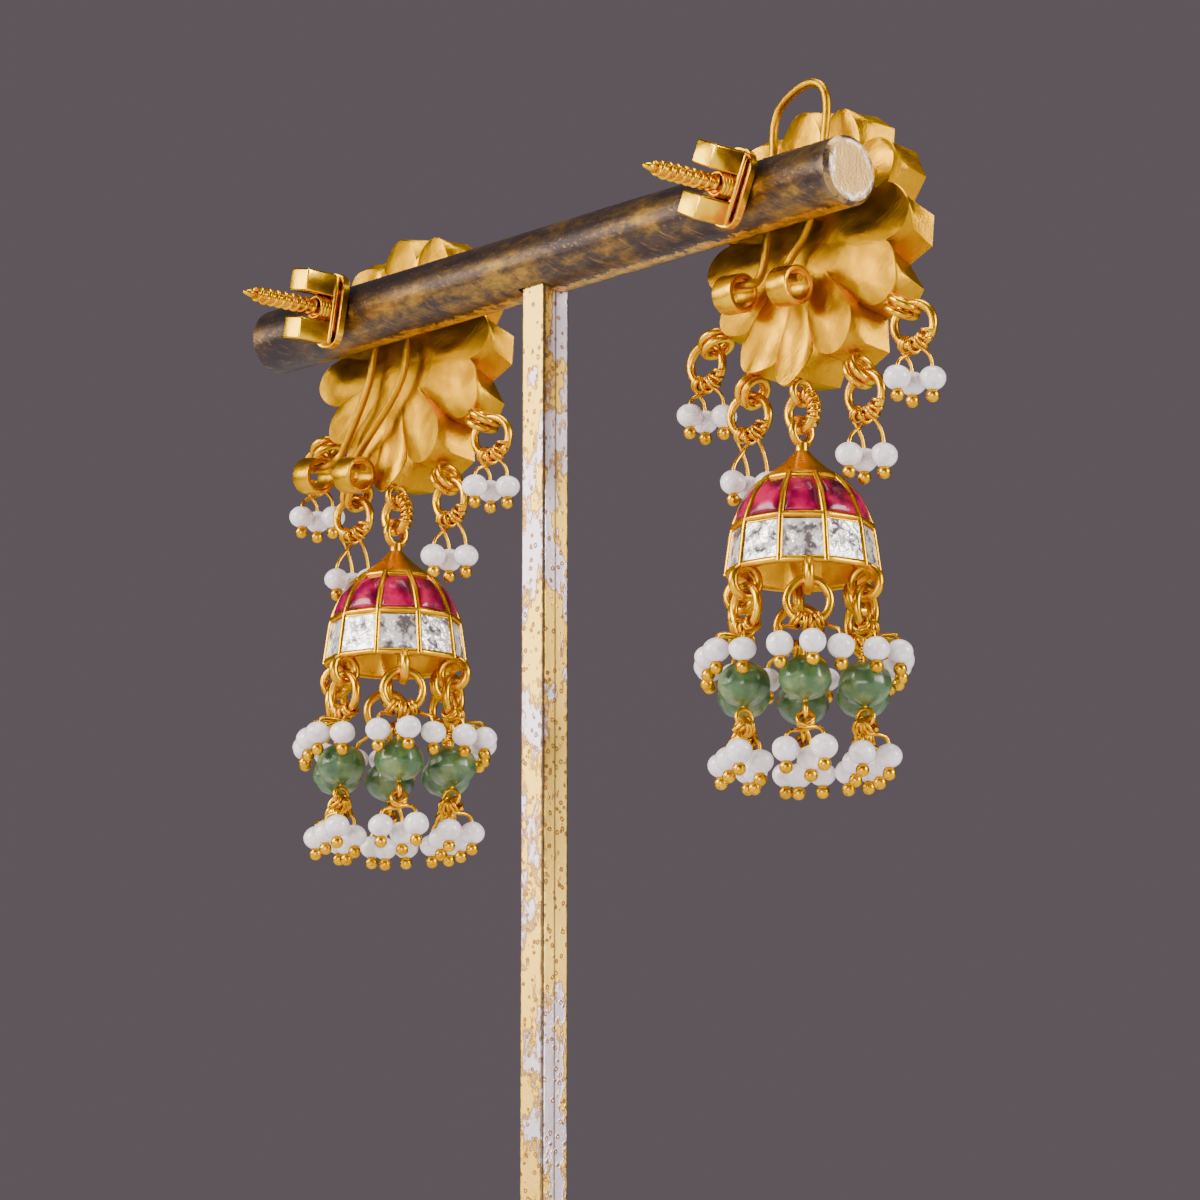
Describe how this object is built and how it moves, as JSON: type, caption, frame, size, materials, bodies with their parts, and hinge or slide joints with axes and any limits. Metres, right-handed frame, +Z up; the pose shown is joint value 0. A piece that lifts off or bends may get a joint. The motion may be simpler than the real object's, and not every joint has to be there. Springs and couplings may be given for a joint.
{
  "type": "pair of jhumka earrings on a t-bar display stand",
  "caption": "Pair of gold jhumka earrings with flower studs, stone-set bells and pearl and green bead drops, on a T-bar stand",
  "frame": {"origin": "centre of the base plate's underside, which is also bottom centre of the whole", "axes": "+Z up, +X along the bar, flower fronts face +Y and the screw posts point to -Y"},
  "size_m": [0.0835, 0.066, 0.1367],
  "materials": {
    "stand_gold": "satin plated metal, worn at the edges",
    "bar_bronze": "tarnished bronze with fine scratches",
    "gold": "soft brushed yellow gold plating",
    "pearl": "glossy off-white pearl",
    "ruby": "polished red stone",
    "polki": "clear flat-cut stone over foil",
    "green_stone": "frosted faceted green glass"
  },
  "bodies": {
    "stand": {"base": "stand_gold", "upright": "stand_gold", "bar": "bar_bronze", "stud_left": "gold", "stud_rings_left": "gold", "stud_pins_left": "gold", "stud_pearls_left": "pearl", "main_ring_left": "gold", "stud_right": "gold", "stud_rings_right": "gold", "stud_pins_right": "gold", "stud_pearls_right": "pearl", "main_ring_right": "gold"},
    "nut_left": {"nut_left": "gold"},
    "support_left": {"support_wire_left": "gold", "support_tubes_left": "gold"},
    "bell_left": {"bell_left": "gold", "rubies_left": "ruby", "polki_left": "polki", "strand_rings_left": "gold", "strand_pins_left": "gold", "strand_pearls_left": "pearl", "green_beads_left": "green_stone", "green_pins_left": "gold", "tip_pins_left": "gold", "tip_pearls_left": "pearl"},
    "nut_right": {"nut_right": "gold"},
    "support_right": {"support_wire_right": "gold", "support_tubes_right": "gold"},
    "bell_right": {"bell_right": "gold", "rubies_right": "ruby", "polki_right": "polki", "strand_rings_right": "gold", "strand_pins_right": "gold", "strand_pearls_right": "pearl", "green_beads_right": "green_stone", "green_pins_right": "gold", "tip_pins_right": "gold", "tip_pearls_right": "pearl"}
  },
  "joints": [
    {"name": "nut_left_unscrew", "type": "slide", "parent": "stand", "child": "nut_left", "axis": [0, -1, 0], "range_m": [0, 0.012]},
    {"name": "bell_left_swing", "type": "hinge", "parent": "stand", "child": "bell_left", "pos_m": [-0.0262, 0.0048, 0.1067], "axis": [1, 0, 0], "range_deg": [-25, 25]},
    {"name": "support_left_lift", "type": "slide", "parent": "stand", "child": "support_left", "axis": [0, 0, 1], "range_m": [0, 0.005]},
    {"name": "nut_right_unscrew", "type": "slide", "parent": "stand", "child": "nut_right", "axis": [0, -1, 0], "range_m": [0, 0.012]},
    {"name": "bell_right_swing", "type": "hinge", "parent": "stand", "child": "bell_right", "pos_m": [0.0272, 0.0048, 0.1067], "axis": [1, 0, 0], "range_deg": [-25, 25]},
    {"name": "support_right_lift", "type": "slide", "parent": "stand", "child": "support_right", "axis": [0, 0, 1], "range_m": [-0.005, 0]}
  ]
}
